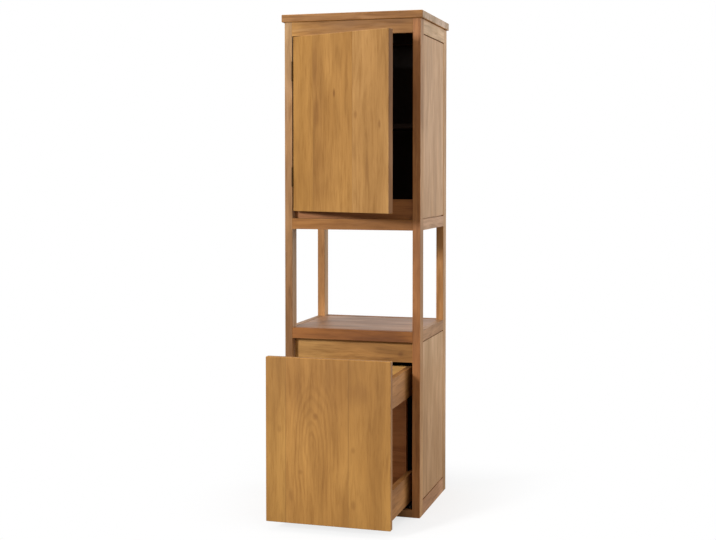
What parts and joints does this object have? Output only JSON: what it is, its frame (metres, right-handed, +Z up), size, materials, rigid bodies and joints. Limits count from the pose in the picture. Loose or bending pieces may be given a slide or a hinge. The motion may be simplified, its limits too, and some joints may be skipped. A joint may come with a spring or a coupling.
{
  "type": "tall bathroom cabinet",
  "caption": "Tall narrow teak bathroom cabinet with a door cupboard above, an open niche in the middle and a deep drawer below, shown with door ajar and drawer pulled out.",
  "frame": {"origin": "on the floor, at the middle of the space the cabinet takes up with the door ajar and the drawer pulled out as shown", "axes": "+X to the right seen from the front, +Y to the back, +Z up"},
  "size_m": [0.466, 0.635, 1.6],
  "materials": {
    "post_teak": "oiled teak, grain along the post",
    "cross_rail_teak": "oiled teak, grain from side to side",
    "side_rail_teak": "oiled teak, grain from front to back",
    "side_panel_teak": "oiled teak, upright grain",
    "top_teak": "oiled teak, grain from side to side",
    "shelf_teak": "oiled teak, grain from side to side",
    "recess_teak": "oiled teak, grain from side to side",
    "door_teak": "oiled teak staves, upright grain",
    "drawer_front_teak": "oiled teak staves, upright grain",
    "drawer_side_teak": "oiled teak, grain from front to back",
    "drawer_back_teak": "oiled teak, grain from side to side",
    "stained_board": "dark stained board, matt",
    "bare_wood": "planed, unfinished",
    "drawer_ply": "lacquered plywood",
    "zinc_steel": "bright zinc plated",
    "brass": "aged brass, satin",
    "screw_steel": "zinc plated"
  },
  "bodies": {
    "case": {"base_rail_back": "cross_rail_teak", "base_rail_front": "cross_rail_teak", "base_rail_left": "side_rail_teak", "base_rail_right": "side_rail_teak", "catch_strike": "brass", "cupboard_floor": "stained_board", "cupboard_floor_cleats": "stained_board", "cupboard_rail_back": "cross_rail_teak", "cupboard_rail_front": "cross_rail_teak", "cupboard_rail_left": "side_rail_teak", "cupboard_rail_right": "side_rail_teak", "cupboard_shelf": "stained_board", "cupboard_shelf_battens": "stained_board", "door_recess_board": "recess_teak", "door_recess_cleats": "recess_teak", "drawer_recess_board": "recess_teak", "drawer_recess_cleats": "recess_teak", "hinge_pins": "brass", "hinge_post_leaves": "brass", "hinge_post_screws": "screw_steel", "lower_back_panel": "stained_board", "lower_side_panel_left": "side_panel_teak", "lower_side_panel_right": "side_panel_teak", "niche_shelf": "shelf_teak", "niche_shelf_cleats": "bare_wood", "post_back_left": "post_teak", "post_back_right": "post_teak", "post_front_left": "post_teak", "post_front_right": "post_teak", "runner_bearers": "bare_wood", "runner_cabinet_members": "zinc_steel", "shelf_rail_back": "cross_rail_teak", "shelf_rail_front": "cross_rail_teak", "shelf_rail_left": "side_rail_teak", "shelf_rail_right": "side_rail_teak", "top_board": "top_teak", "top_dowels": "bare_wood", "top_rail_back": "cross_rail_teak", "top_rail_front": "cross_rail_teak", "top_rail_left": "side_rail_teak", "top_rail_right": "side_rail_teak", "upper_back_panel": "stained_board", "upper_side_panel_left": "side_panel_teak", "upper_side_panel_right": "side_panel_teak"},
    "door": {"door_board": "door_teak", "hinge_door_leaves": "brass", "hinge_door_screws": "screw_steel", "door_ball_catch": "brass"},
    "drawer": {"drawer_back": "drawer_back_teak", "drawer_back_screws": "screw_steel", "drawer_bottom": "drawer_ply", "drawer_front": "drawer_front_teak", "drawer_lower_side_left": "drawer_side_teak", "drawer_lower_side_right": "drawer_side_teak", "drawer_upper_side_left": "drawer_side_teak", "drawer_upper_side_right": "drawer_side_teak", "runner_drawer_members": "zinc_steel"},
    "runner_middles": {"runner_middle_members": "zinc_steel"}
  },
  "joints": [
    {"name": "door_hinge", "type": "hinge", "parent": "case", "child": "door", "pos_m": [-0.1985, -0.0651, 1.25], "axis": [0, 0, -1], "range_deg": [-24, 146]},
    {"name": "drawer_slide", "type": "slide", "parent": "case", "child": "drawer", "axis": [0, -1, 0], "range_m": [-0.255, 0.045]},
    {"name": "runner_slide", "type": "slide", "parent": "case", "child": "runner_middles", "axis": [0, -1, 0], "range_m": [-0.1275, 0.0225]}
  ],
  "couplings": [
    {"joint": "runner_slide", "follows": "drawer_slide", "ratio": 0.5}
  ]
}
